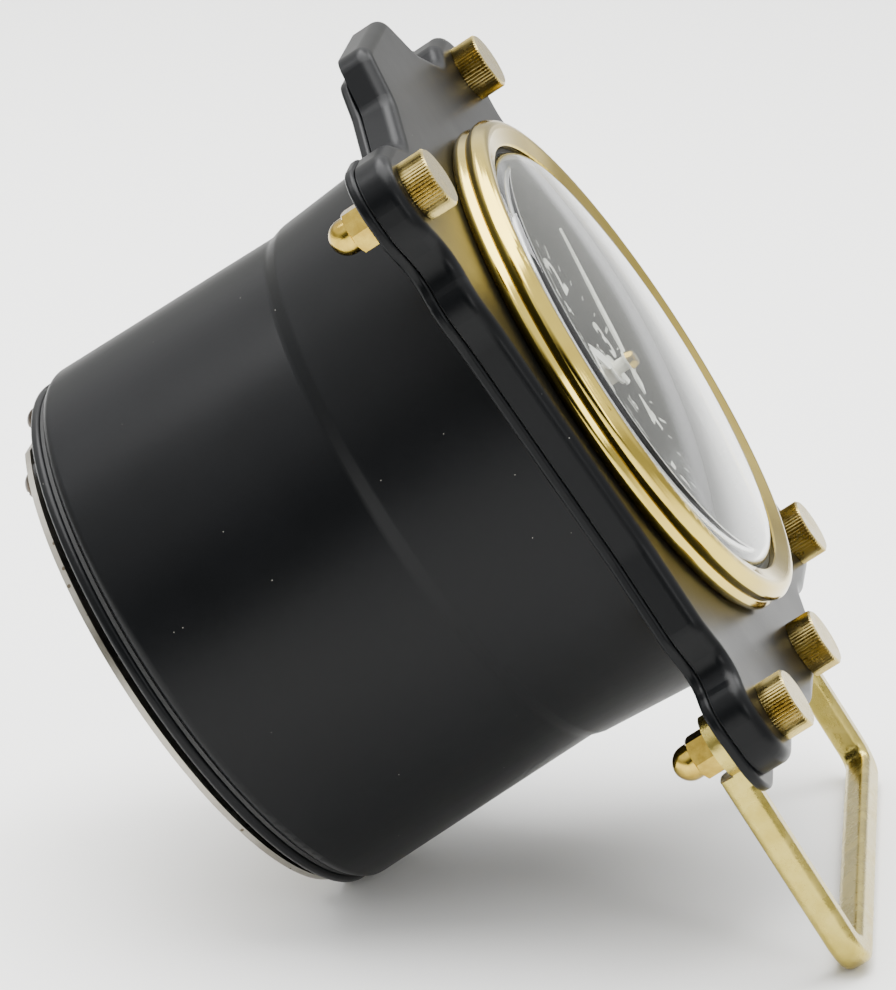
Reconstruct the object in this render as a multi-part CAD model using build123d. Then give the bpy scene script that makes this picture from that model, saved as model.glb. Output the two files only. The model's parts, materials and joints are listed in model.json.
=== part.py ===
from build123d import *
import math
import os

os.makedirs("parts", exist_ok=True)

# Ships deck clock: black drum case, lobed front plate, brass bezel and a brass handle that is its stand.
# Every piece is modelled in the clock's own frame, in millimetres: +X towards 3 o'clock, +Z towards
# 12 o'clock and +Y into the case, with y = 0 on the front face of the front plate. At the end each piece
# is leaned back until the clock rests on its rear rim and on the handle's crossbar, which puts z = 0 on
# the table.

# front plate, gasket and case flange
PLATE_DEPTH = 8.0
PLATE_EDGE_R = 3.0
GASKET_DEPTH = 0.4
FLANGE_DEPTH = 2.6
FLANGE_GROW = 0.5
PLATE_TOP_Z = 101.0
PLATE_EAR_Z = -85.6
FLANGE_TOP_Z = 95.5
FLANGE_EAR_Z = -88.6
FLANGE_EDGE_R = 0.9
PLATE_HOLE_R = 62.0

# thumb nuts sit on five studs through plate, gasket and flange
TOP_STUD = (66.7, 71.7)
BOTTOM_STUD = (69.5, -75.0)
CENTRE_STUD = (0.0, -84.0)
STUD_R = 3.0
THREAD_GAP = 0.06
STUD_HOLE_R = 3.2
NUT_R = 7.5
NUT_HEIGHT = 7.0
NUT_LIFT = 0.12
NUT_TEETH = 54
NUT_KNURL_DEPTH = 0.5
ACORN_FLATS = 10.0
ACORN_HEX_DEPTH = 5.6
ACORN_DOME_R = 4.4
ACORN_NECK = 1.6
WASHER_DEPTH = 0.6
HANDLE_WASHER_DEPTH = 1.2
WASHER_R = 6.2

# drum case
CONE_FRONT_R = 75.6
CONE_REAR_R = 73.0
CREASE_Y = 47.4
DRUM_FRONT_R = 72.0
DRUM_REAR_R = 73.5
DRUM_END_Y = 117.2
DRUM_EDGE_R = 3.0
WALL = 2.5

# rear stack
REAR_GASKET_DEPTH = 1.0
REAR_GASKET_R = 71.4
COVER_DEPTH = 2.8
COVER_R = 72.2
COVER_EDGE_R = 1.2
SPACER_DEPTH = 2.5
STEEL_DEPTH = 1.5
STEEL_R = 68.6
STEEL_FLAT_Z = 64.7
STEEL_SCREW = (27.0, 57.0)
COVER_SCREW = (8.0, 67.4)
SCREW_HEAD_R = 4.2
SCREW_HEAD_H = 3.6
SCREW_SHANK_R = 2.0
COVER_HEAD_R = 3.6
PLATE_SHANK = 6.8

# bezel and glass
BEZEL_HEIGHT = 9.2
BEZEL_SPLIT = 4.1
BEZEL_R = 68.2
BEZEL_OPENING_R = 60.2
SPIGOT_OUT_R = 61.9
SPIGOT_IN_R = 60.4
GLASS_R = 59.0
GLASS_EDGE_Y = -5.0
GLASS_RISE = 9.6
GLASS_SHOULDER_R = 4.5
GLASS_DEPTH = 2.2
GLASS_FOOT = 2.0

# dial and hands
DIAL_Y = 5.0
DIAL_R = 58.4
DIAL_DEPTH = 0.8
DIAL_PLATE_DEPTH = 1.5
HOUR_HAND_Y = -0.5
MINUTE_HAND_Y = -4.2
HAND_DEPTH = 0.5
HOUR_ANGLE = 309.0
MINUTE_ANGLE = 38.0
HOUR_LENGTH = 27.0
MINUTE_LENGTH = 41.0

# quartz movement behind the dial
MOVEMENT_SIDE = 56.0
MOVEMENT_FRONT_DEPTH = 7.0
MOVEMENT_REAR_DEPTH = 9.0
MOVEMENT_WALL = 1.4
NECK_R = 4.0
NECK_BORE_R = 3.1
NECK_NUT_DEPTH = 1.8
NECK_WASHER_DEPTH = 0.6
MOTION_X = 12.0
KNOB_R = 6.5
KNOB_DEPTH = 3.0
KNOB_GROOVES = 24

# wheels: teeth and module (pitch diameter over teeth)
CENTRE_TEETH = 40
CENTRE_MODULE = 0.5
THIRD_TEETH = 40
THIRD_MODULE = 0.4
SECOND_TEETH = 48
SECOND_MODULE = 0.3
THIRD_PINION = 10
SECOND_PINION = 8
CANNON_PINION = 12
MINUTE_TEETH = 36
MINUTE_PINION = 10
HOUR_TEETH = 40

# step motor, board and cell
MOTOR_Z = 16.0
ROTOR_X = 14.0
CELL_Z = -17.0

# handle, bent from square bar
BAR = 7.2
BAR_EDGE_R = 2.0
BAR_BEND_R = 6.5
TAB_R = 8.0
TAB_DEPTH = 3.4
BAR_TOP_Z = -82.6
CROSSBAR_Z = -140.2
HANDLE_SPLAY = 2.1

gasket_y = PLATE_DEPTH
flange_y = gasket_y + GASKET_DEPTH
flange_rear_y = flange_y + FLANGE_DEPTH
handle_y = flange_rear_y + HANDLE_WASHER_DEPTH
cover_y = DRUM_END_Y + REAR_GASKET_DEPTH
steel_y = cover_y + COVER_DEPTH + SPACER_DEPTH
rear_y = steel_y + STEEL_DEPTH
dial_plate_y = DIAL_Y + DIAL_DEPTH
movement_y = dial_plate_y + DIAL_PLATE_DEPTH

clock = {}


def disc(radius, y0, y1, x=0.0, z=0.0):
    """A cylinder along Y from y0 to y1."""
    return Pos(x, (y0 + y1) / 2, z) * Rot(90, 0, 0) * Cylinder(radius, y1 - y0)


def ring(outer, inner, y0, y1, x=0.0, z=0.0):
    """A plain ring along Y."""
    return disc(outer, y0, y1, x, z) - disc(inner, y0 - 1, y1 + 1, x, z)


def slab(sketch, y0, y1):
    """A flat sketch in X and Z, given thickness from y0 to y1."""
    return extrude(Plane.XZ.offset(-y1) * sketch, y1 - y0)


def rounded_face(corners):
    """A flat face with straight sides; corners are (a, b) or (a, b, radius)."""
    edges = []
    first = None
    last = None
    for i, corner in enumerate(corners):
        here = Vector(corner[0], corner[1])
        before = (Vector(*corners[i - 1][:2]) - here).normalized()
        after = (Vector(*corners[(i + 1) % len(corners)][:2]) - here).normalized()
        radius = corner[2] if len(corner) == 3 else 0
        start = here
        end = here
        if radius:
            half = math.radians(before.get_angle(after)) / 2
            start = here + before * (radius / math.tan(half))
            end = here + after * (radius / math.tan(half))
        if last is None:
            first = start
        else:
            edges.append(Line(last, start))
        if radius:
            middle = here + (before + after).normalized() * (radius / math.sin(half) - radius)
            edges.append(ThreePointArc(start, middle, end))
        last = end
    edges.append(Line(last, first))
    return make_face(edges)


def lathe(corners):
    """A turned piece; corners are (radius, y) or (radius, y, rounding)."""
    return revolve(rounded_face(corners), Axis.Y)


def lobed_outline(top, bottom):
    """The outline of plate and flange: a lobe above, an ear at each corner, a shallow lobe below."""
    half = [
        (19.0, top, 7), (28.5, 88.6, 8), (47.5, 79.6, 10), (57, 83.8, 9), (78.8, 83.8, 11),
        (78.8, 66.0, 12), (72.4, 55.6, 9), (77.4, 46.0, 12), (75.6, 36.0, 25), (75.6, -24.0, 25),
        (78.2, -46.5, 9), (75.2, -58.0, 6), (85.6, -64.0, 9), (84.0, bottom, 11), (52.0, bottom + 1.2, 10),
        (42.0, -82.2, 10), (31.0, -87.6, 10), (20.0, -91.4, 10),
    ]
    mirrored = [(-x, z, radius) for x, z, radius in reversed(half)]
    outline = rounded_face(half + mirrored)
    # growing and shrinking it again makes every joint between line and arc exactly tangent
    return offset(offset(outline, 1.6), -1.6)


def studs_at():
    """The five stud positions."""
    return {
        "top_left": (-TOP_STUD[0], TOP_STUD[1]),
        "top_right": TOP_STUD,
        "bottom_left": (-BOTTOM_STUD[0], BOTTOM_STUD[1]),
        "bottom_right": BOTTOM_STUD,
        "bottom_centre": CENTRE_STUD,
    }


def make_front_plate():
    plate = slab(lobed_outline(PLATE_TOP_Z, PLATE_EAR_Z), 0, PLATE_DEPTH)
    front = plate.faces().sort_by(Axis.Y)[0]
    plate = fillet(front.edges(), PLATE_EDGE_R)
    plate -= disc(PLATE_HOLE_R, -1, PLATE_DEPTH + 1)
    for x, z in studs_at().values():
        plate -= disc(STUD_HOLE_R, -1, PLATE_DEPTH + 1, x, z)
    clock["front_plate"] = plate


def make_plate_gasket():
    outline = offset(lobed_outline(FLANGE_TOP_Z, PLATE_EAR_Z), -0.7)
    gasket = slab(outline, gasket_y, flange_y) - disc(66, 0, 20)
    for x, z in studs_at().values():
        gasket -= disc(STUD_HOLE_R, 0, 20, x, z)
    clock["plate_gasket"] = gasket


def make_case():
    """The lobed flange and, welded behind it, the spun cone and drum."""
    flange = slab(offset(lobed_outline(FLANGE_TOP_Z, FLANGE_EAR_Z), FLANGE_GROW), flange_y, flange_rear_y)
    flange = fillet(flange.faces().sort_by(Axis.Y)[0].edges(), FLANGE_EDGE_R)
    flange = fillet(flange.faces().sort_by(Axis.Y)[-1].edges(), FLANGE_EDGE_R)
    flange -= disc(66, flange_y - 1, flange_rear_y + 1)
    for x, z in studs_at().values():
        flange -= disc(STUD_HOLE_R, flange_y - 1, flange_rear_y + 1, x, z)
    clock["case_flange"] = flange
    clock["case_drum"] = lathe([
        (CONE_FRONT_R - WALL, flange_rear_y), (CONE_FRONT_R, flange_rear_y), (CONE_REAR_R, CREASE_Y, 4),
        (DRUM_FRONT_R, CREASE_Y + 3.5, 4), (DRUM_REAR_R, DRUM_END_Y, DRUM_EDGE_R), (62, DRUM_END_Y),
        (62, DRUM_END_Y - WALL), (DRUM_REAR_R - WALL, DRUM_END_Y - WALL),
        (DRUM_FRONT_R - WALL, CREASE_Y + 3.5), (CONE_REAR_R - WALL, CREASE_Y),
    ])


def make_studs_and_nuts():
    """Studs, thumb nuts in front, washers and acorn nuts behind."""
    studs = []
    acorns = []
    washers = []
    for name, (x, z) in studs_at().items():
        on_handle = name in ("bottom_left", "bottom_right")
        seat = handle_y + TAB_DEPTH if on_handle else flange_rear_y + WASHER_DEPTH
        studs.append(disc(STUD_R, -4.8, seat + 7.0, x, z))
        acorns.append(acorn_nut(seat, x, z))
        washers.append(ring(WASHER_R, STUD_HOLE_R, flange_rear_y, handle_y if on_handle else seat, x, z))
        clock["thumb_nut_" + name] = thumb_nut(x, z)
    clock["studs"] = Compound(children=studs)
    clock["acorn_nuts"] = Compound(children=acorns)
    clock["stud_washers"] = Compound(children=washers)


def thumb_nut(x, z):
    """A closed nut with a straight knurl, a small front chamfer and a blind thread."""
    points = []
    for i in range(2 * NUT_TEETH):
        radius = NUT_R if i % 2 == 0 else NUT_R - NUT_KNURL_DEPTH
        angle = math.pi * i / NUT_TEETH
        points.append((radius * math.cos(angle), radius * math.sin(angle)))
    rear = -NUT_LIFT
    body = slab(make_face(Polyline(points, close=True)), -NUT_HEIGHT, rear)
    turned = lathe([(0, -NUT_HEIGHT), (NUT_R - 0.6, -NUT_HEIGHT), (NUT_R + 0.1, 0.7 - NUT_HEIGHT),
                    (NUT_R + 0.1, rear), (0, rear)])
    body = body & turned
    body -= disc(STUD_R + THREAD_GAP, -5.2, 1)
    return Pos(x, 0, z) * body


def acorn_nut(seat, x, z):
    """A domed cap nut, its hexagon against the seat."""
    hexagon = slab(RegularPolygon(ACORN_FLATS / 2, 6, major_radius=False), seat, seat + ACORN_HEX_DEPTH)
    corner = ACORN_FLATS / 2 / math.cos(math.radians(30))
    bevel = lathe([(0, seat), (corner, seat), (corner, seat + ACORN_HEX_DEPTH - 0.5),
                   (corner - 0.8, seat + ACORN_HEX_DEPTH), (0, seat + ACORN_HEX_DEPTH)])
    neck_end = seat + ACORN_HEX_DEPTH + ACORN_NECK
    body = (hexagon & bevel) + disc(ACORN_DOME_R, seat, neck_end)
    body += Pos(0, neck_end, 0) * Sphere(ACORN_DOME_R)
    body -= disc(STUD_R, seat - 1, seat + 7.2)
    return Pos(x, 0, z) * body


def make_bezel():
    base = lathe([
        (SPIGOT_IN_R, PLATE_DEPTH - 0.4), (SPIGOT_OUT_R, PLATE_DEPTH - 0.4), (SPIGOT_OUT_R, 0),
        (BEZEL_R - 1.4, 0, 0.5), (BEZEL_R + 0.2, -2.0, 1.6), (BEZEL_R - 1.0, -BEZEL_SPLIT, 0.4),
        (SPIGOT_IN_R, -BEZEL_SPLIT),
    ])
    top = lathe([
        (SPIGOT_IN_R, -BEZEL_SPLIT), (BEZEL_R - 1.0, -BEZEL_SPLIT, 0.4), (BEZEL_R + 0.1, -6.4, 1.8),
        (BEZEL_R - 1.9, -BEZEL_HEIGHT - 0.1, 2.2), (64.6, -BEZEL_HEIGHT - 0.1, 2.6),
        (BEZEL_OPENING_R, -7.9, 0.5), (BEZEL_OPENING_R, -6.8, 0.3), (SPIGOT_IN_R, -6.6),
    ])
    clock["bezel_base_ring"] = base
    clock["bezel_ring"] = top


def dome_skin(inset):
    """One skin of the glass in section: a crown arc, then a tight shoulder arc that ends upright."""
    crown_r = ((GLASS_R - GLASS_SHOULDER_R) ** 2 + GLASS_RISE ** 2 - GLASS_SHOULDER_R ** 2)
    crown_r /= 2 * (GLASS_RISE - GLASS_SHOULDER_R)
    centre_y = GLASS_EDGE_Y - GLASS_RISE + crown_r
    lean = math.atan2(GLASS_R - GLASS_SHOULDER_R, centre_y - GLASS_EDGE_Y)
    crown_r -= inset
    shoulder_r = GLASS_SHOULDER_R - inset
    knee = (lean + math.pi / 2) / 2
    shoulder_x = GLASS_R - GLASS_SHOULDER_R
    apex = (0, centre_y - crown_r)
    rise = (crown_r * math.sin(lean / 2), centre_y - crown_r * math.cos(lean / 2))
    join = (crown_r * math.sin(lean), centre_y - crown_r * math.cos(lean))
    turn = (shoulder_x + shoulder_r * math.sin(knee), GLASS_EDGE_Y - shoulder_r * math.cos(knee))
    edge = (shoulder_x + shoulder_r, GLASS_EDGE_Y)
    return apex, edge, ThreePointArc(apex, rise, join), ThreePointArc(join, turn, edge)


def make_glass():
    """A high domed glass with its rubber ring."""
    foot_y = GLASS_EDGE_Y + GLASS_FOOT
    inner_r = GLASS_R - GLASS_DEPTH
    outer_apex, outer_edge, outer_crown, outer_shoulder = dome_skin(0)
    inner_apex, inner_edge, inner_crown, inner_shoulder = dome_skin(GLASS_DEPTH)
    section = make_face([
        outer_crown, outer_shoulder, Line(outer_edge, (GLASS_R, foot_y)),
        Line((GLASS_R, foot_y), (inner_r, foot_y)), Line((inner_r, foot_y), inner_edge),
        inner_shoulder, inner_crown, Line(inner_apex, outer_apex),
    ])
    clock["glass_lens"] = revolve(section, Axis.Y)
    clock["lens_gasket"] = ring(SPIGOT_IN_R - 0.1, GLASS_R, -6.2, foot_y)


def make_reflector():
    """The black inner wall between glass and dial."""
    top = GLASS_EDGE_Y + GLASS_FOOT
    clock["reflector_ring"] = lathe([
        (GLASS_R - GLASS_DEPTH, top), (SPIGOT_IN_R - 0.1, top), (SPIGOT_IN_R - 0.1, DIAL_Y), (56.2, DIAL_Y),
    ])


def make_dial():
    clock["dial"] = ring(DIAL_R, NECK_R + 0.2, DIAL_Y, DIAL_Y + DIAL_DEPTH)
    plate = ring(60.2, NECK_R + 0.2, dial_plate_y, movement_y)
    screws = []
    for angle in (30, 150, 270):
        x = 50 * math.cos(math.radians(angle))
        z = 50 * math.sin(math.radians(angle))
        plate -= disc(1.6, 0, 20, x, z)
        screws.append(pan_screw(movement_y, x, z, head_r=2.8, head_h=1.6, shank_r=1.5,
                                shank=-DIAL_PLATE_DEPTH))
    clock["dial_plate"] = plate
    clock["dial_plate_screws"] = Compound(children=screws)
    clock["dial_clamp_ring"] = ring(64.0, 57.0, PLATE_DEPTH, PLATE_DEPTH + 1.5)


def pan_screw(face_y, x, z, head_r, head_h, shank_r, shank):
    """A dome-headed screw with a cross slot; the head stands on +Y, a negative shank runs to -Y."""
    dome_r = (head_r ** 2 + head_h ** 2) / (2 * head_h)
    head = Pos(0, face_y + head_h - dome_r, 0) * Sphere(dome_r)
    head = head & disc(head_r, face_y, face_y + head_h + 1)
    slot_y = face_y + head_h * 0.45
    for width, length in ((0.8, 1.2 * head_r), (1.2 * head_r, 0.8)):
        head -= Pos(0, slot_y + head_h, 0) * Box(width, 2 * head_h, length)
    screw = head + disc(shank_r, face_y + shank, face_y)
    return Pos(x, 0, z) * screw


def hand_outline(length, tail, width):
    """A slim leaf hand: a pointed tip, widest near the hub, with a short leaf tail."""
    half = width / 2
    tip = [(0, length), (0.35, length - 1.0), (half * 0.7, length * 0.55), (half, length * 0.22)]
    hub = [(half * 0.6, 4.0), (half * 0.6, -3.0)]
    rear = [(half * 1.05, -tail * 0.62), (0, -tail)]
    right = tip + hub + rear
    left = [(-x, y) for x, y in reversed(right[1:-1])]
    return make_face(Polyline(right + left, close=True))


def make_hands():
    for name, y0, angle, length, tail, width, hole in (
        ("hour_hand", HOUR_HAND_Y, HOUR_ANGLE, HOUR_LENGTH, 9.0, 4.6, 2.5),
        ("minute_hand", MINUTE_HAND_Y, MINUTE_ANGLE, MINUTE_LENGTH, 10.0, 3.4, 1.4),
    ):
        flat = hand_outline(length, tail, width) + Circle(hole + 1.5)
        hand = slab(flat, y0 - HAND_DEPTH, y0)
        hand -= disc(hole, y0 - 2, y0 + 2)
        clock[name] = Rot(0, angle, 0) * hand
    clock["hand_cap_nut"] = lathe([
        (0, MINUTE_HAND_Y - HAND_DEPTH - 1.8), (1.9, MINUTE_HAND_Y - HAND_DEPTH - 1.8, 0.6),
        (2.5, MINUTE_HAND_Y - HAND_DEPTH), (1.41, MINUTE_HAND_Y - HAND_DEPTH),
        (1.41, MINUTE_HAND_Y - HAND_DEPTH - 1.0), (0, MINUTE_HAND_Y - HAND_DEPTH - 1.0),
    ])


def gear(teeth, module, y0, y1, x, z, phase):
    """A small clock wheel with slim rounded teeth; phase turns it by that part of one tooth."""
    pitch_r = teeth * module / 2
    tip_r = pitch_r + 0.85 * module
    root_r = pitch_r - 1.15 * module
    step = 2 * math.pi / teeth
    points = []
    for i in range(teeth):
        middle = (i + phase) * step
        for radius, share in ((root_r, -0.27), (pitch_r, -0.2), (tip_r, -0.07),
                              (tip_r, 0.07), (pitch_r, 0.2), (root_r, 0.27)):
            angle = middle + share * step
            points.append((x + radius * math.cos(angle), z + radius * math.sin(angle)))
    return slab(make_face(Polyline(points, close=True)), y0, y1)


def make_centre_wheel(cannon_y, centre_y):
    """Centre arbor: cannon pinion, centre wheel and the spindle that carries the minute hand."""
    cannon_module = 2 * MOTION_X / (CANNON_PINION + MINUTE_TEETH)
    arbor = gear(CANNON_PINION, cannon_module, cannon_y, cannon_y + 1.6, 0, 0, 0.5)
    arbor += gear(CENTRE_TEETH, CENTRE_MODULE, centre_y, centre_y + 1.0, 0, 0, 0)
    arbor += disc(2.0, cannon_y, centre_y + 2.0)
    arbor += disc(1.36, MINUTE_HAND_Y - HAND_DEPTH - 0.9, cannon_y + 1)
    arbor += disc(1.8, MINUTE_HAND_Y, cannon_y + 0.5)
    clock["centre_wheel"] = arbor


def make_hour_wheel(wheel_y):
    """The hour wheel, whose pipe passes the neck and carries the hour hand."""
    hour_module = 2 * MOTION_X / (MINUTE_PINION + HOUR_TEETH)
    pipe = disc(2.46, HOUR_HAND_Y - HAND_DEPTH - 0.2, wheel_y + 1.4)
    pipe += disc(2.9, HOUR_HAND_Y + 0.02, wheel_y + 0.2)
    wheel = gear(HOUR_TEETH, hour_module, wheel_y, wheel_y + 1.0, 0, 0, 0.5)
    clock["hour_wheel"] = wheel + pipe - disc(1.86, MINUTE_HAND_Y, wheel_y + 3)


def make_minute_wheel(wheel_y, cannon_y):
    """Motion work: the minute wheel, its pinion and the arbor that ends in the setting knob."""
    hour_module = 2 * MOTION_X / (MINUTE_PINION + HOUR_TEETH)
    cannon_module = 2 * MOTION_X / (CANNON_PINION + MINUTE_TEETH)
    arbor_y = movement_y + MOVEMENT_WALL - 0.6
    arbor_end = movement_y + MOVEMENT_FRONT_DEPTH + MOVEMENT_REAR_DEPTH + 1.2
    motion = gear(MINUTE_PINION, hour_module, wheel_y, cannon_y + 0.1, MOTION_X, 0, 0)
    motion += gear(MINUTE_TEETH, cannon_module, cannon_y, cannon_y + 1.2, MOTION_X, 0, 0)
    motion += disc(1.2, arbor_y, arbor_end, MOTION_X, 0)
    clock["minute_wheel"] = motion


def make_train():
    """The going train and the motion work, in mesh at rest, all on axes along Y."""
    hour_wheel_y = movement_y + MOVEMENT_WALL + 0.4
    cannon_y = hour_wheel_y + 1.8
    centre_y = cannon_y + 3.0
    make_centre_wheel(cannon_y, centre_y)
    make_hour_wheel(hour_wheel_y)
    make_minute_wheel(hour_wheel_y, cannon_y)

    # the third wheel drives the centre wheel, and the second wheel drives the third
    third_z = -(CENTRE_TEETH + THIRD_PINION) * CENTRE_MODULE / 2
    third = gear(THIRD_PINION, CENTRE_MODULE, centre_y - 0.1, centre_y + 2.2, 0, third_z, 0)
    third += gear(THIRD_TEETH, THIRD_MODULE, centre_y + 2.0, centre_y + 3.0, 0, third_z, 0)
    third += disc(0.8, centre_y - 1.6, centre_y + 5.2, 0, third_z)
    clock["third_wheel"] = third
    second_x = -(THIRD_TEETH + SECOND_PINION) * THIRD_MODULE / 2
    second = gear(SECOND_PINION, THIRD_MODULE, centre_y + 1.9, centre_y + 4.2, second_x, third_z, 0.5)
    second += gear(SECOND_TEETH, SECOND_MODULE, centre_y + 4.0, centre_y + 4.8, second_x, third_z, 0)
    second += disc(0.7, centre_y + 0.6, centre_y + 6.2, second_x, third_z)
    clock["second_wheel"] = second


def movement_shell(y0, y1, open_to_rear):
    """One half of the square movement housing."""
    outside = slab(RectangleRounded(MOVEMENT_SIDE, MOVEMENT_SIDE, 3), y0, y1)
    side = MOVEMENT_SIDE - 2 * MOVEMENT_WALL
    if open_to_rear:
        inside = slab(RectangleRounded(side, side, 2), y0 + MOVEMENT_WALL, y1 + 1)
    else:
        inside = slab(RectangleRounded(side, side, 2), y0 - 1, y1 - MOVEMENT_WALL)
    return outside - inside


def make_setting_knob(knob_y):
    knob = disc(KNOB_R, knob_y, knob_y + KNOB_DEPTH, MOTION_X, 0)
    for i in range(KNOB_GROOVES):
        angle = math.tau * i / KNOB_GROOVES
        x = MOTION_X + KNOB_R * math.cos(angle)
        knob -= disc(0.45, knob_y - 1, knob_y + KNOB_DEPTH + 1, x, KNOB_R * math.sin(angle))
    knob -= disc(1.2, knob_y - 1, knob_y + 0.7, MOTION_X, 0)
    clock["setting_knob"] = knob


def make_movement():
    """The movement's two covers, the nut and washer on its neck, and the setting knob behind."""
    split = movement_y + MOVEMENT_FRONT_DEPTH
    end = split + MOVEMENT_REAR_DEPTH
    front = movement_shell(movement_y, split, True)
    front += disc(NECK_R, DIAL_Y - 2.6, movement_y + 0.5)
    front -= disc(NECK_BORE_R, DIAL_Y - 4, movement_y + 3)
    front -= disc(1.25, movement_y, movement_y + 3, MOTION_X, 0)
    clock["movement_front_cover"] = front
    rear = movement_shell(split, end, False)
    rear -= disc(1.3, split, end + 1, MOTION_X, 0)
    clock["movement_rear_cover"] = rear
    washer_y = DIAL_Y - NECK_WASHER_DEPTH
    clock["movement_washer"] = ring(6.5, NECK_R + 0.05, washer_y, DIAL_Y)
    nut = slab(RegularPolygon(5.5, 6, major_radius=False), washer_y - NECK_NUT_DEPTH, washer_y)
    clock["movement_nut"] = nut - disc(NECK_R + 0.02, DIAL_Y - 4, DIAL_Y)
    make_setting_knob(end + 0.5)
    make_motor(end - MOVEMENT_WALL)


def make_motor(floor):
    """Step motor, circuit board and cell, set on the inner face of the rear cover."""
    clock["circuit_board"] = slab(Pos(-17, 6) * Rectangle(14, 30), floor - 1.0, floor - 0.2)
    stator = slab(Pos(8, MOTOR_Z) * Rectangle(24, 9), floor - 3.4, floor - 2.6)
    clock["stator"] = stator - disc(2.1, floor - 5, floor, ROTOR_X, MOTOR_Z)
    rotor = disc(1.8, floor - 4.4, floor - 1.2, ROTOR_X, MOTOR_Z)
    clock["rotor"] = rotor + disc(0.5, floor - 6, floor - 0.3, ROTOR_X, MOTOR_Z)
    coil_at = Pos(8, floor - 4.0, MOTOR_Z + 6.6)
    clock["coil_core"] = coil_at * Box(20, 1.2, 2.0)
    clock["coil"] = coil_at * (Rot(0, 90, 0) * Cylinder(2.2, 15) - Box(22, 1.24, 2.04))
    cell_y = floor - 5.6
    cell_end = floor - 2.2
    clock["battery"] = disc(5.0, cell_y, cell_end, ROTOR_X, CELL_Z)
    upper = Pos(ROTOR_X, cell_end + 0.5, CELL_Z) * Box(8, 0.4, 3)
    lower = Pos(ROTOR_X, cell_y - 0.25, CELL_Z) * Box(8, 0.4, 3)
    clock["battery_contacts"] = Compound(children=[upper, lower])


def make_handle():
    """A U of square bar, flattened to drilled tabs under the two lower acorn nuts."""
    x = BOTTOM_STUD[0]
    middle_y = handle_y + BAR / 2
    path = FilletPolyline(
        (-x, middle_y, BAR_TOP_Z), (-x, middle_y, CROSSBAR_Z + BAR / 2), (x, middle_y, CROSSBAR_Z + BAR / 2),
        (x, middle_y, BAR_TOP_Z), radius=BAR_BEND_R)
    section = Plane(origin=path @ 0, x_dir=(1, 0, 0), z_dir=path % 0) * RectangleRounded(BAR, BAR, BAR_EDGE_R)
    bar = sweep(section, path)
    hinge = Axis((0, handle_y, BAR_TOP_Z), (1, 0, 0))
    bar = bar.rotate(hinge, HANDLE_SPLAY)
    for side in (-1, 1):
        cx, cz = side * x, BOTTOM_STUD[1]
        tab = disc(TAB_R, handle_y, handle_y + TAB_DEPTH, cx, cz)
        tongue_bottom = BAR_TOP_Z - 4
        tongue_at = Pos(cx, handle_y + TAB_DEPTH / 2, (cz + tongue_bottom) / 2)
        bar = bar + tab + tongue_at * Box(BAR, TAB_DEPTH, cz - tongue_bottom)
        bar -= disc(STUD_HOLE_R, handle_y - 1, handle_y + 5, cx, cz)
    clock["handle_stand"] = bar


def make_rear_cover(cover_end):
    """The rear cover, the gasket under it and its two own screws."""
    gasket = ring(REAR_GASKET_R, 62, DRUM_END_Y, cover_y)
    cover = lathe([
        (0, cover_y), (COVER_R, cover_y, COVER_EDGE_R), (COVER_R, cover_end, COVER_EDGE_R), (0, cover_end),
    ])
    steel_x, steel_z = STEEL_SCREW
    steel_holes = [(-steel_x, -steel_z), (-steel_x, steel_z), (steel_x, -steel_z), (steel_x, steel_z)]
    cover_holes = [(-COVER_SCREW[0], COVER_SCREW[1]), COVER_SCREW]
    for x, z in steel_holes + cover_holes:
        cover -= disc(SCREW_SHANK_R, cover_y - 1, cover_end + 1, x, z)
        gasket -= disc(SCREW_SHANK_R + 0.1, DRUM_END_Y - 1, cover_y + 1, x, z)
    clock["rear_gasket"] = gasket
    clock["rear_cover"] = cover
    clock["rear_cover_screws"] = Compound(children=[
        pan_screw(cover_end, x, z, COVER_HEAD_R, SCREW_HEAD_H, SCREW_SHANK_R, -COVER_DEPTH)
        for x, z in cover_holes
    ])
    return steel_holes


def make_rear():
    """The rear cover and, on four spacers behind it, the steel plate with its flat upper edge."""
    cover_end = cover_y + COVER_DEPTH
    steel_holes = make_rear_cover(cover_end)
    plate = disc(STEEL_R, steel_y, rear_y) - Pos(0, steel_y, STEEL_FLAT_Z + 20) * Box(200, 20, 40)
    spacers = []
    screws = []
    for x, z in steel_holes:
        spacers.append(ring(5.0, SCREW_SHANK_R + 0.1, cover_end, steel_y, x, z))
        plate -= disc(SCREW_SHANK_R + 0.1, steel_y - 1, rear_y + 1, x, z)
        screws.append(pan_screw(rear_y, x, z, SCREW_HEAD_R, SCREW_HEAD_H, SCREW_SHANK_R, -PLATE_SHANK))
    clock["rear_steel_plate"] = plate
    clock["plate_spacers"] = Compound(children=spacers)
    clock["plate_screws"] = Compound(children=screws)


def resting_lean():
    """The lean, in degrees, that sets the rear rim and the crossbar on the table together."""
    rim_y = cover_y + COVER_DEPTH - COVER_EDGE_R
    rim_z = -(COVER_R - COVER_EDGE_R)
    splay = math.radians(HANDLE_SPLAY)
    foot_y = BAR - BAR_EDGE_R
    foot_z = CROSSBAR_Z + BAR_EDGE_R - BAR_TOP_Z
    bar_y = handle_y + foot_y * math.cos(splay) - foot_z * math.sin(splay)
    bar_z = BAR_TOP_Z + foot_y * math.sin(splay) + foot_z * math.cos(splay)
    span = math.hypot(rim_y - bar_y, rim_z - bar_z)
    slope = math.atan2(rim_z - bar_z, rim_y - bar_y)
    tilt = slope + math.asin((BAR_EDGE_R - COVER_EDGE_R) / span)
    floor = -rim_y * math.sin(tilt) + rim_z * math.cos(tilt) - COVER_EDGE_R
    return math.degrees(tilt), floor


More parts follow.
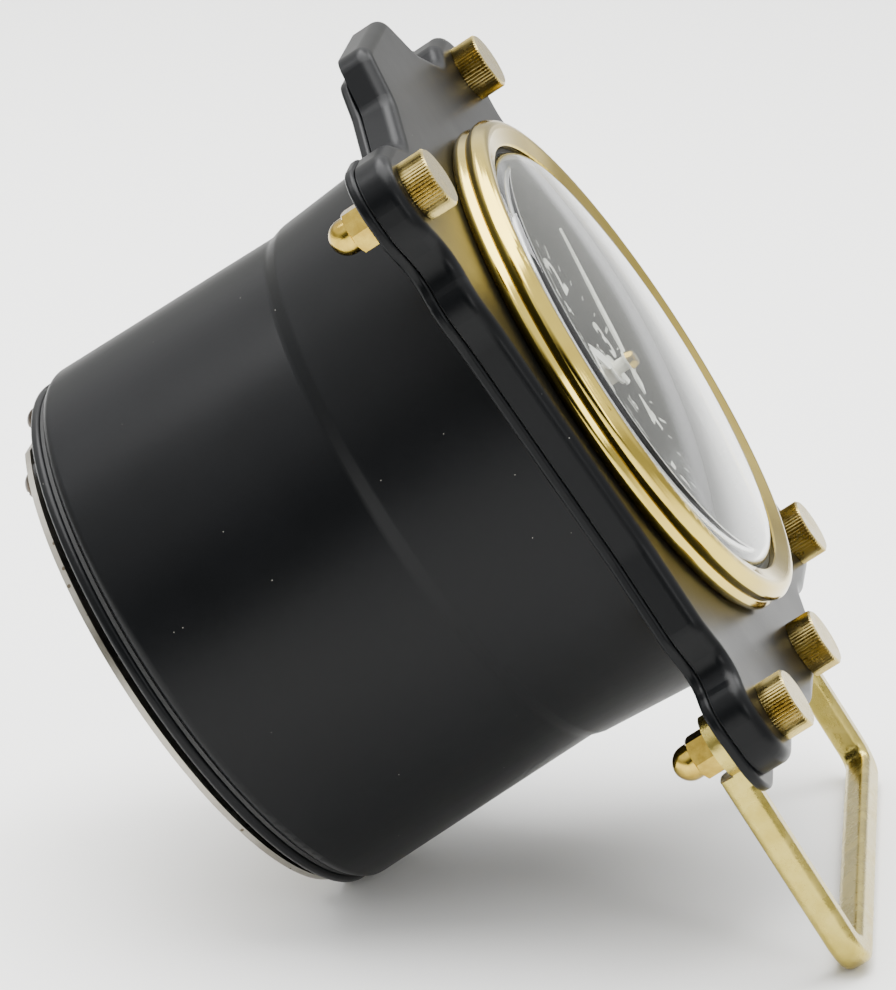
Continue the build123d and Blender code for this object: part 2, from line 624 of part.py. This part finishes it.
def build():
    make_front_plate()
    make_plate_gasket()
    make_case()
    make_studs_and_nuts()
    make_bezel()
    make_glass()
    make_reflector()
    make_dial()
    make_hands()
    make_train()
    make_movement()
    make_handle()
    make_rear()


def stood_up(piece, shift=0.0):
    """The piece leaned back and raised to its place on the table."""
    solids = [solid.rotate(Axis.X, -lean).translate((0, shift, -table_level)) for solid in piece.solids()]
    return solids[0] if len(solids) == 1 else Compound(solids)


build()
lean, table_level = resting_lean()
print("lean", round(lean, 3), "axis height", round(-table_level, 3))
middle = Compound([stood_up(piece) for piece in clock.values()]).bounding_box().center()
print("y shift", round(-middle.Y, 4))
for node, piece in clock.items():
    export_step(stood_up(piece, -middle.Y), "parts/" + node + ".step")
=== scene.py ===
import json
import math
import bmesh
import bpy
from mathutils import Matrix, Vector


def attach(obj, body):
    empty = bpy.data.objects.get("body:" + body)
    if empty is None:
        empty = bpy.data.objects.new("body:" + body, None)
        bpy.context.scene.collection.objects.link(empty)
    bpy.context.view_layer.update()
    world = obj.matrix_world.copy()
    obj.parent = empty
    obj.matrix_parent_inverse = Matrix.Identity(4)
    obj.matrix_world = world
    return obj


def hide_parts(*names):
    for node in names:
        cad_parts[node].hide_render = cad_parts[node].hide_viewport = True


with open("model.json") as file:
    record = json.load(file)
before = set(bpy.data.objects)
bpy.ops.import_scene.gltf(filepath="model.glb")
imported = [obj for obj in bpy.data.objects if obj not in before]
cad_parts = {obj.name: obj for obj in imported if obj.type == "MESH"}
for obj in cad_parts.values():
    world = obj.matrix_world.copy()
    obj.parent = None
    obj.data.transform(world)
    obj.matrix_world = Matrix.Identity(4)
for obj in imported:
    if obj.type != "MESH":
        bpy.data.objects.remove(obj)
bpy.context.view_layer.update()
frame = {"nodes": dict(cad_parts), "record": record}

# The clock leans back on its stand, so its own axes come from the minute hand's joint:
# x towards 3 o'clock, y into the case, z towards 12 o'clock, in mm from the middle of the plate's face.
handJoint = next(j for j in frame["record"]["behaviour"]["joints"] if j["name"] == "minute_hand_turn")
clockX = Vector((1, 0, 0))
clockY = -Vector(handJoint["axis"]).normalized()
clockZ = clockX.cross(clockY)
clockFrame = Matrix((clockX, clockY, clockZ)).transposed().to_4x4()
clockFrame.translation = Vector(handJoint["pos_m"])
millimetre = 0.001


def atClock(x, y, z):
    return clockFrame @ (Vector((x, y, z)) * millimetre)


def fromHex(text):
    channels = [int(text[i:i + 2], 16) / 255 for i in (1, 3, 5)]
    return [c / 12.92 if c <= 0.04045 else ((c + 0.055) / 1.055) ** 2.4 for c in channels] + [1.0]


def addNode(tree, kind, settings=None, links=None):
    node = tree.nodes.new(kind)
    for key, value in (settings or {}).items():
        if isinstance(key, int) or key in node.inputs:
            node.inputs[key].default_value = value
        else:
            setattr(node, key, value)
    for key, source in (links or {}).items():
        tree.links.new(source, node.inputs[key])
    return node


def scaleFor(size):
    return 1 / (size * millimetre)  # texture scale for a pattern that repeats every size mm


def clockCoordinates(tree):
    spot = addNode(tree, "ShaderNodeTexCoord")
    turned = addNode(tree, "ShaderNodeMapping", {
        "vector_type": "TEXTURE",
        "Location": clockFrame.translation,
        "Rotation": clockFrame.to_euler(),
    }, {"Vector": spot.outputs["Object"]})
    return turned.outputs["Vector"]


def colourSteps(tree, source, stops):
    ramp = addNode(tree, "ShaderNodeValToRGB", links={"Fac": source})
    first, last = ramp.color_ramp.elements[0], ramp.color_ramp.elements[1]
    first.position, first.color = stops[0]
    last.position, last.color = stops[-1]
    for position, colour in stops[1:-1]:
        ramp.color_ramp.elements.new(position).color = colour
    return ramp.outputs["Color"]


# what every finish shares: soft clouds vary its colour and gloss, a fine grain gives its relief
sharedTexture = {
    "cloudDetail": 4, "cloudRoughness": 0.6, "cloudLow": 0.3, "cloudHigh": 0.7,
    "grainDetail": 3, "grainRoughness": 0.65, "grainDepth": 0.2,
    "ringDetail": 2, "ringDistortion": 0.6, "ringDepth": 0.1, "ringsPerScale": 20 / math.tau,
}


def newSurface(name, look):
    share = sharedTexture
    material = bpy.data.materials.new(name)
    material.use_nodes = True
    tree = material.node_tree
    tree.nodes.clear()
    spot = clockCoordinates(tree)
    drawn = addNode(tree, "ShaderNodeMapping", {"Scale": look.get("drawn", (1, 1, 1))}, {"Vector": spot})
    cloud = addNode(tree, "ShaderNodeTexNoise", {
        "Scale": scaleFor(look["cloudSize"]),
        "Detail": share["cloudDetail"], "Roughness": share["cloudRoughness"],
    }, {"Vector": spot})
    grain = addNode(tree, "ShaderNodeTexNoise", {
        "Scale": scaleFor(look["grainSize"]),
        "Detail": share["grainDetail"], "Roughness": share["grainRoughness"],
    }, {"Vector": drawn.outputs["Vector"]})
    colour = colourSteps(tree, cloud.outputs["Fac"], [
        (share["cloudLow"], fromHex(look["shade"])), (share["cloudHigh"], fromHex(look["colour"])),
    ])
    if "fleck" in look:
        colour = addFlecks(tree, spot, colour, look)
    gloss = addNode(tree, "ShaderNodeMapRange", {
        "From Min": share["cloudLow"], "From Max": share["cloudHigh"],
        "To Min": look["smooth"], "To Max": look["rough"],
    }, {"Value": cloud.outputs["Fac"]})
    bump = addNode(tree, "ShaderNodeBump", {
        "Strength": look["relief"], "Distance": look["grainSize"] * share["grainDepth"] * millimetre,
    }, {"Height": grain.outputs["Fac"]})
    if "ringSpacing" in look:
        bump = addTurning(tree, spot, bump, look)
    shader = addNode(tree, "ShaderNodeBsdfPrincipled", {
        "Metallic": look.get("metallic", 0.0), "IOR": look.get("ior", 1.5),  # metals keep the default
        "Coat Weight": look.get("coat", 0.0), "Specular IOR Level": look.get("specular", 0.5),
    }, {"Base Color": colour, "Roughness": gloss.outputs["Result"], "Normal": bump.outputs["Normal"]})
    addNode(tree, "ShaderNodeOutputMaterial", links={"Surface": shader.outputs["BSDF"]})
    return material


def addFlecks(tree, spot, colour, look):
    # small specks of dust or dirt: the middles of scattered cells, and only some of the cells
    cells = addNode(tree, "ShaderNodeTexVoronoi", {"Scale": scaleFor(look["fleckSpacing"])}, {"Vector": spot})
    near = addNode(tree, "ShaderNodeMath", {
        "operation": "LESS_THAN", 1: look["fleckShare"],
    }, {0: cells.outputs["Distance"]})
    some = addNode(tree, "ShaderNodeSeparateColor", links={"Color": cells.outputs["Color"]})
    chosen = addNode(tree, "ShaderNodeMath", {
        "operation": "LESS_THAN", 1: look["fleckOdds"],
    }, {0: some.outputs["Red"]})
    both = addNode(tree, "ShaderNodeMath", {
        "operation": "MULTIPLY",
    }, {0: near.outputs[0], 1: chosen.outputs[0]})
    mixed = addNode(tree, "ShaderNodeMix", {
        "data_type": "RGBA", 7: fromHex(look["fleck"]),
    }, {0: both.outputs[0], 6: colour})
    return mixed.outputs[2]


def addTurning(tree, spot, bump, look):
    # the tool's rings left by the lathe, round the clock's axis
    share = sharedTexture
    rings = addNode(tree, "ShaderNodeTexWave", {
        "wave_type": "RINGS", "rings_direction": "Y",
        "Scale": scaleFor(look["ringSpacing"]) / share["ringsPerScale"],
        "Distortion": share["ringDistortion"], "Detail": share["ringDetail"],
    }, {"Vector": spot})
    return addNode(tree, "ShaderNodeBump", {
        "Strength": look["ringRelief"], "Distance": look["ringSpacing"] * share["ringDepth"] * millimetre,
    }, {"Height": rings.outputs["Fac"], "Normal": bump.outputs["Normal"]})


# Stoving enamel on pressed steel, sprayed and baked: near black, satin gloss, a faint orange peel and dust.
enamelLook = {
    "colour": "#08090B", "shade": "#050607", "cloudSize": 60, "grainSize": 1.6, "smooth": 0.3, "rough": 0.38,
    "relief": 0.05, "ior": 1.5, "specular": 0.13,
    "fleck": "#8E8D86", "fleckSpacing": 4.2, "fleckShare": 0.03, "fleckOdds": 0.4,
}
enamel = newSurface("blackStovingEnamel", enamelLook)

# Brass, turned and buffed: warm, mirror-like, with the last traces of the tool's rings.
# The rings are 0.5 mm apart, since real ones of 0.1 mm would not show.
bezelLook = {
    "colour": "#CDB659", "shade": "#B8A046", "cloudSize": 30, "grainSize": 0.6, "smooth": 0.1, "rough": 0.17,
    "relief": 0.04, "metallic": 1.0, "ringSpacing": 0.5, "ringRelief": 0.08,
}
bezelBrass = newSurface("turnedPolishedBrass", bezelLook)

# Brass bar, bent and tumbled: paler and greener, softly granular so highlights spread.
handleLook = {
    "colour": "#BFAE60", "shade": "#A49346", "cloudSize": 7, "grainSize": 0.9, "smooth": 0.2, "rough": 0.34,
    "relief": 0.35, "metallic": 1.0,
}
handleBrass = newSurface("tumbledBrassBar", handleLook)

# Brass rod, knurled and faced: satin ends and bright crests.
knurlLook = {
    "colour": "#C4B272", "shade": "#A59257", "cloudSize": 5, "grainSize": 0.35, "smooth": 0.2, "rough": 0.32,
    "relief": 0.12, "metallic": 1.0,
}
knurlBrass = newSurface("knurledBrassRod", knurlLook)

# Brass hexagon bar, turned to a dome and buffed: small hard highlights.
acornLook = {
    "colour": "#C6AB4C", "shade": "#A08436", "cloudSize": 4, "grainSize": 0.4, "smooth": 0.12, "rough": 0.22,
    "relief": 0.1, "metallic": 1.0,
}
acornBrass = newSurface("buffedBrassHexagon", acornLook)

# Lacquered sheet dial: deep gloss black under the print.
dialLook = {
    "colour": "#141415", "shade": "#101011", "cloudSize": 25, "grainSize": 0.5, "smooth": 0.16, "rough": 0.22,
    "relief": 0.03, "ior": 1.5, "coat": 0.3,
}
dialLacquer = newSurface("blackDialLacquer", dialLook)

# White enamel on stamped hands, and the pad-printed ink of the dial.
whiteLook = {
    "colour": "#EDECE6", "shade": "#DFDDD4", "cloudSize": 6, "grainSize": 0.3, "smooth": 0.3, "rough": 0.42,
    "relief": 0.05, "ior": 1.5,
}
whiteEnamel = newSurface("whiteEnamelPaint", whiteLook)

# Moulded rubber rings: dull black with a soft bloom.
rubberLook = {
    "colour": "#232323", "shade": "#191919", "cloudSize": 12, "grainSize": 0.4, "smooth": 0.6, "rough": 0.8,
    "relief": 0.2, "ior": 1.5,
}
rubber = newSurface("mouldedRubber", rubberLook)

# Cold-rolled steel sheet left bare: grey, drawn grain, brown freckles of tarnish.
steelLook = {
    "colour": "#A6A298", "shade": "#8C877B", "cloudSize": 14, "grainSize": 0.5, "drawn": (0.05, 1, 1),
    "smooth": 0.3, "rough": 0.46, "relief": 0.25, "metallic": 1.0, "fleck": "#5B5246", "fleckSpacing": 2.4,
    "fleckShare": 0.22, "fleckOdds": 0.3,
}
bareSteel = newSurface("rolledSteelSheet", steelLook)

# Steel screws with a bronze-black oxide: dark and softly mottled.
screwLook = {
    "colour": "#4A3F33", "shade": "#2C2620", "cloudSize": 2, "grainSize": 0.4, "smooth": 0.3, "rough": 0.45,
    "relief": 0.2, "metallic": 1.0,
}
oxideScrew = newSurface("oxideBlackScrew", screwLook)

# ABS, injection moulded: fine spark-eroded texture.
absLook = {
    "colour": "#26272A", "shade": "#202123", "cloudSize": 20, "grainSize": 0.4, "smooth": 0.45, "rough": 0.58,
    "relief": 0.3, "ior": 1.5,
}
mouldedAbs = newSurface("mouldedAbs", absLook)

# Acetal wheels, injection moulded: waxy white with a low sheen.
acetalLook = {
    "colour": "#E9E7DC", "shade": "#DDDACB", "cloudSize": 5, "grainSize": 0.3, "smooth": 0.38, "rough": 0.5,
    "relief": 0.08, "ior": 1.5,
}
acetal = newSurface("mouldedAcetal", acetalLook)

# Rolled zinc sheet behind the dial: soft grey with a drawn grain.
zincLook = {
    "colour": "#BDBDB8", "shade": "#A8A8A4", "cloudSize": 18, "grainSize": 0.4, "drawn": (0.06, 1, 1),
    "smooth": 0.34, "rough": 0.46, "relief": 0.2, "metallic": 1.0,
}
zincSheet = newSurface("rolledZincSheet", zincLook)

# Enamelled copper wire, wound: turns 0.3 mm apart, real ones of 0.05 mm would not show.
coilLook = {
    "colour": "#B5612F", "shade": "#8E4520", "cloudSize": 3, "grainSize": 0.3, "drawn": (1, 0.05, 0.05),
    "smooth": 0.25, "rough": 0.35, "relief": 0.7, "metallic": 1.0,
}
copperWire = newSurface("enamelledCopperWire", coilLook)

# Solder resist on a fibre board: green, slightly uneven, a low sheen.
boardLook = {
    "colour": "#1F6B45", "shade": "#185738", "cloudSize": 6, "grainSize": 0.6, "smooth": 0.3, "rough": 0.4,
    "relief": 0.15, "ior": 1.5,
}
solderResist = newSurface("solderResistBoard", boardLook)

# Nickel plate on steel: neutral, bright, slightly clouded.
nickelLook = {
    "colour": "#C9C7C0", "shade": "#B5B2AA", "cloudSize": 5, "grainSize": 0.4, "smooth": 0.2, "rough": 0.32,
    "relief": 0.1, "metallic": 1.0,
}
nickelPlate = newSurface("nickelPlatedSteel", nickelLook)


def makeGlass(name, look):
    # pressed clear glass: bends sight, mirrors more towards grazing sight, and lets the lamps reach the dial
    material = bpy.data.materials.new(name)
    material.use_nodes = True
    tree = material.node_tree
    tree.nodes.clear()
    spot = clockCoordinates(tree)
    smears = addNode(tree, "ShaderNodeTexNoise", {
        "Scale": scaleFor(look["smearSize"]), "Detail": look["smearDetail"],
    }, {"Vector": spot})
    gloss = addNode(tree, "ShaderNodeMapRange", {
        "To Min": look["smooth"], "To Max": look["rough"],
    }, {"Value": smears.outputs["Fac"]})
    body = addNode(tree, "ShaderNodeBsdfPrincipled", {
        "Base Color": fromHex(look["tint"]), "Transmission Weight": 1.0, "IOR": look["ior"],
    }, {"Roughness": gloss.outputs["Result"]})
    rays = addNode(tree, "ShaderNodeLightPath")
    clear = addNode(tree, "ShaderNodeBsdfTransparent", {"Color": fromHex(look["tint"])})
    mixed = addNode(tree, "ShaderNodeMixShader", links={
        0: rays.outputs["Is Shadow Ray"], 1: body.outputs["BSDF"], 2: clear.outputs["BSDF"],
    })
    addNode(tree, "ShaderNodeOutputMaterial", links={"Surface": mixed.outputs["Shader"]})
    return material


glassLook = {
    "tint": "#F6F8F6", "ior": 1.45, "smooth": 0.0, "rough": 0.02, "smearSize": 40, "smearDetail": 3,
}
clearGlass = makeGlass("pressedClearGlass", glassLook)
print("finishes mixed")

finishes = {
    "black_enamel": enamel, "polished_brass": acornBrass, "satin_brass": handleBrass,
    "knurled_brass": knurlBrass, "dial_black": dialLacquer, "hand_white": whiteEnamel,
    "lens_glass": clearGlass, "black_rubber": rubber, "bare_steel": bareSteel, "dark_screw": oxideScrew,
    "movement_plastic": mouldedAbs, "acetal_white": acetal, "zinc_plate": zincSheet,
    "copper_winding": copperWire, "green_board": solderResist, "cell_steel": nickelPlate,
}
byNode = {"bezel_ring": bezelBrass, "bezel_base_ring": bezelBrass}
for part in frame["record"]["subparts"]:
    node = frame["nodes"][part["node"]]
    finish = byNode.get(part["node"], finishes[part["material_slot"]])
    node.data.materials.clear()
    node.data.materials.append(finish)
print("finishes given to", len(frame["nodes"]), "nodes")


def ringPoint(radius, y, angle):
    return atClock(radius * math.sin(angle), y, radius * math.cos(angle))


def placePiece(name, mesh, finish, body):
    piece = bpy.data.objects.new(name, mesh)
    bpy.context.scene.collection.objects.link(piece)
    mesh.materials.clear()
    mesh.materials.append(finish)
    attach(piece, body)
    return piece


# the dial's print: minute track, hour strokes, two rows of numbers and a thin circle
minutesRound, hoursRound = 60, 12
dialPrint = {
    "y": 4.94, "depth": 0.05,
    "trackRadius": 49.4, "minuteLength": 2.4, "minuteWidth": 0.35, "hourLength": 5.2, "hourWidth": 0.9,
    "numberRadius": 42.4, "numberHeight": 10.6, "numberSqueeze": 1.05, "numberBold": 0.028,
    "innerRadius": 28.4, "innerHeight": 4.4, "innerSqueeze": 0.9, "innerBold": 0.0,
    "curveSteps": 8,  # points on each curve of a letter
    "circleRadius": 18.6, "circleWidth": 0.35, "circleSteps": 180, "circleOverlap": 1.02,
}


def addSlab(bm, corners, y, depth):
    low = [bm.verts.new(atClock(x, y, z)) for x, z in corners]
    high = [bm.verts.new(atClock(x, y - depth, z)) for x, z in corners]
    bm.faces.new(low)
    bm.faces.new(list(reversed(high)))
    for i in range(len(corners)):
        j = (i + 1) % len(corners)
        bm.faces.new((low[j], low[i], high[i], high[j]))


def addStroke(bm, angle, inner, outer, width, y, depth):
    side, out = (math.cos(angle), -math.sin(angle)), (math.sin(angle), math.cos(angle))
    corners = []
    for across, along in ((-1, inner), (1, inner), (1, outer), (-1, outer)):
        corners.append([side[k] * across * width / 2 + out[k] * along for k in (0, 1)])
    addSlab(bm, corners, y, depth)


def addNumber(bm, text, angle, row, look):
    letters = bpy.data.curves.new("number", "FONT")
    letters.body = text
    letters.align_x = "CENTER"
    letters.align_y = "CENTER"
    letters.offset = look[row + "Bold"]
    letters.resolution_u = look["curveSteps"]
    holder = bpy.data.objects.new("number", letters)
    flat = bpy.data.meshes.new_from_object(holder)
    top, foot = max(v.co.y for v in flat.vertices), min(v.co.y for v in flat.vertices)
    tall = look[row + "Height"] / (top - foot)
    wide = tall * look[row + "Squeeze"]
    x, z = look[row + "Radius"] * math.sin(angle), look[row + "Radius"] * math.cos(angle)
    for v in flat.vertices:
        v.co = atClock(x + v.co.x * wide, look["y"] - look["depth"], z + (v.co.y - (top + foot) / 2) * tall)
    bm.from_mesh(flat)
    bpy.data.objects.remove(holder)
    bpy.data.curves.remove(letters)
    bpy.data.meshes.remove(flat)


def makeDialPrint(look):
    bm = bmesh.new()
    y, depth = look["y"], look["depth"]
    for minute in range(minutesRound):
        onHour = minute % (minutesRound // hoursRound) == 0
        length = look["hourLength" if onHour else "minuteLength"]
        width = look["hourWidth" if onHour else "minuteWidth"]
        addStroke(bm, math.tau * minute / minutesRound, look["trackRadius"], look["trackRadius"] + length,
                  width, y, depth)
    halfLine = look["circleWidth"] / 2
    stepLong = math.tau * look["circleRadius"] / look["circleSteps"] * look["circleOverlap"]
    for step in range(look["circleSteps"]):
        addStroke(bm, math.tau * (step + 0.5) / look["circleSteps"], look["circleRadius"] - halfLine,
                  look["circleRadius"] + halfLine, stepLong, y, depth)
    for hour in range(1, hoursRound + 1):
        angle = math.tau * hour / hoursRound
        addNumber(bm, str(hour), angle, "number", look)
        addNumber(bm, str(hour + hoursRound), angle, "inner", look)
    mesh = bpy.data.meshes.new("dialPrint")
    bm.to_mesh(mesh)
    bm.free()
    placePiece("dialPrint", mesh, whiteEnamel, "case")


makeDialPrint(dialPrint)
print("dial printed")

# the glass: one smooth dome in place of the faceted one, a wide crown arc and a tight shoulder arc
glassShape = {
    "rimRadius": 59.0, "shoulder": 4.5, "edgeY": -5.0, "rise": 9.6, "thick": 2.2, "foot": 2.0,
    "steps": 192, "crownRings": 30, "shoulderRings": 10,
}


def domeOutline(look, inset):
    reach = look["rimRadius"] - look["shoulder"]
    crown = (reach ** 2 + look["rise"] ** 2 - look["shoulder"] ** 2) / (2 * (look["rise"] - look["shoulder"]))
    middle = look["edgeY"] - look["rise"] + crown
    lean = math.atan2(reach, middle - look["edgeY"])
    outline = []
    for i in range(1, look["crownRings"] + 1):
        t = lean * i / look["crownRings"]
        outline.append(((crown - inset) * math.sin(t), middle - (crown - inset) * math.cos(t)))
    for i in range(1, look["shoulderRings"] + 1):
        t = lean + (math.pi / 2 - lean) * i / look["shoulderRings"]
        bend = look["shoulder"] - inset
        outline.append((reach + bend * math.sin(t), look["edgeY"] - bend * math.cos(t)))
    outline.append((look["rimRadius"] - inset, look["edgeY"] + look["foot"]))
    return outline


def makeGlassDome(look):
    bm = bmesh.new()
    outline = domeOutline(look, 0.0) + domeOutline(look, look["thick"])[::-1]
    rows = [[bm.verts.new(ringPoint(radius, y, math.tau * s / look["steps"])) for s in range(look["steps"])]
            for radius, y in outline]
    front = bm.verts.new(atClock(0, look["edgeY"] - look["rise"], 0))
    back = bm.verts.new(atClock(0, look["edgeY"] - look["rise"] + look["thick"], 0))
    for s in range(look["steps"]):
        t = (s + 1) % look["steps"]
        for first, second in zip(rows, rows[1:]):
            bm.faces.new((first[s], second[s], second[t], first[t]))
        bm.faces.new((front, rows[0][s], rows[0][t]))
        bm.faces.new((back, rows[-1][t], rows[-1][s]))
    bmesh.ops.recalc_face_normals(bm, faces=bm.faces)
    mesh = bpy.data.meshes.new("glassDome")
    bm.to_mesh(mesh)
    bm.free()
    mesh.shade_smooth()
    piece = placePiece("glassDome", mesh, clearGlass, "case")
    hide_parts("glass_lens")


makeGlassDome(glassShape)
print("glass dome made")

# the table, a soft room and three softboxes round it, and the camera; places in metres, the camera's in mm
studio = {
    "floor": "#F4F4F2", "floorRough": 0.9, "floorSize": 14.0, "wallStrength": 1.7,
    "byHeight": [(0.505, "#FFFFFF"), (0.52, "#B4B4B0"), (0.62, "#B4B4B0"), (0.7, "#FFFFFF")],
    "bySide": [(0.05, "#202022"), (0.2, "#FFFFFF")],
    "camera": (-1187.7, -237.4, 221.0), "lookAt": (-11.86, 47.59, -1.7), "roll": -35.05,
    "lens": 184.94, "sensor": 36, "clip": (0.05, 60),
}
softboxes = {
    "skySoftbox": {"place": (0.2, 0.3, 1.6), "aim": (0, 0, 0.1), "size": (1.6, 1.6), "watts": 84},
    "farSoftbox": {"place": (1.1, -0.8, 1.6), "aim": (0, 0, 0.1), "size": (0.5, 0.9), "watts": 14},
    "nearSoftbox": {"place": (-1.3, -1.1, 0.9), "aim": (0, 0, 0.1), "size": (0.4, 0.8), "watts": 7},
}


def makeFloor(look):
    half = look["floorSize"] / 2
    mesh = bpy.data.meshes.new("floor")
    corners = [(-half, -half, 0), (half, -half, 0), (half, half, 0), (-half, half, 0)]
    mesh.from_pydata(corners, [], [(0, 1, 2, 3)])
    floor = bpy.data.objects.new("floor", mesh)
    bpy.context.scene.collection.objects.link(floor)
    paper = bpy.data.materials.new("matPaperSweep")
    paper.use_nodes = True
    shader = paper.node_tree.nodes["Principled BSDF"]
    shader.inputs["Base Color"].default_value = fromHex(look["floor"])
    shader.inputs["Roughness"].default_value = look["floorRough"]
    mesh.materials.append(paper)


def makeRoom(look):
    # white at the table's edge, a greyer band of wall above it, a white ceiling, and one dark side wall
    world = bpy.data.worlds.new("paleRoom")
    bpy.context.scene.world = world
    world.use_nodes = True
    tree = world.node_tree
    tree.nodes.clear()
    spot = addNode(tree, "ShaderNodeTexCoord")
    split = addNode(tree, "ShaderNodeSeparateXYZ", links={"Vector": spot.outputs["Generated"]})
    shades = []
    for axis, stops in (("Z", look["byHeight"]), ("X", look["bySide"])):
        along = addNode(tree, "ShaderNodeMapRange", {
            "From Min": -1.0, "From Max": 1.0,
        }, {"Value": split.outputs[axis]})
        shades.append(colourSteps(tree, along.outputs["Result"], [(at, fromHex(text)) for at, text in stops]))
    both = addNode(tree, "ShaderNodeMix", {
        "data_type": "RGBA", "blend_type": "MULTIPLY", 0: 1.0,
    }, {6: shades[0], 7: shades[1]})
    glow = addNode(tree, "ShaderNodeBackground", {
        "Strength": look["wallStrength"],
    }, {"Color": both.outputs[2]})
    addNode(tree, "ShaderNodeOutputWorld", links={"Surface": glow.outputs["Background"]})


def addSoftbox(name, look):
    light = bpy.data.lights.new(name, "AREA")
    light.shape = "RECTANGLE"
    light.size, light.size_y = look["size"]
    light.energy = look["watts"]
    box = bpy.data.objects.new(name, light)
    bpy.context.scene.collection.objects.link(box)
    box.location = look["place"]
    box.rotation_mode = "QUATERNION"
    box.rotation_quaternion = (Vector(look["aim"]) - Vector(look["place"])).to_track_quat("-Z", "Y")


def makeCamera(look):
    place, aim = atClock(*look["camera"]), atClock(*look["lookAt"])
    forward = (aim - place).normalized()
    level = forward.cross(clockZ).normalized()
    upright = level.cross(forward)
    roll = math.radians(look["roll"])
    right = level * math.cos(roll) + upright * math.sin(roll)
    up = upright * math.cos(roll) - level * math.sin(roll)
    turned = Matrix((right, up, -forward)).transposed().to_4x4()
    turned.translation = place
    lens = bpy.data.cameras.new("camera")
    lens.sensor_fit = "AUTO"
    lens.sensor_width = look["sensor"]
    lens.lens = look["lens"]
    lens.clip_start, lens.clip_end = look["clip"]
    camera = bpy.data.objects.new("camera", lens)
    bpy.context.scene.collection.objects.link(camera)
    camera.matrix_world = turned
    bpy.context.scene.camera = camera


makeFloor(studio)
makeRoom(studio)
for name, look in softboxes.items():
    addSoftbox(name, look)
makeCamera(studio)
print("floor, light and camera set")
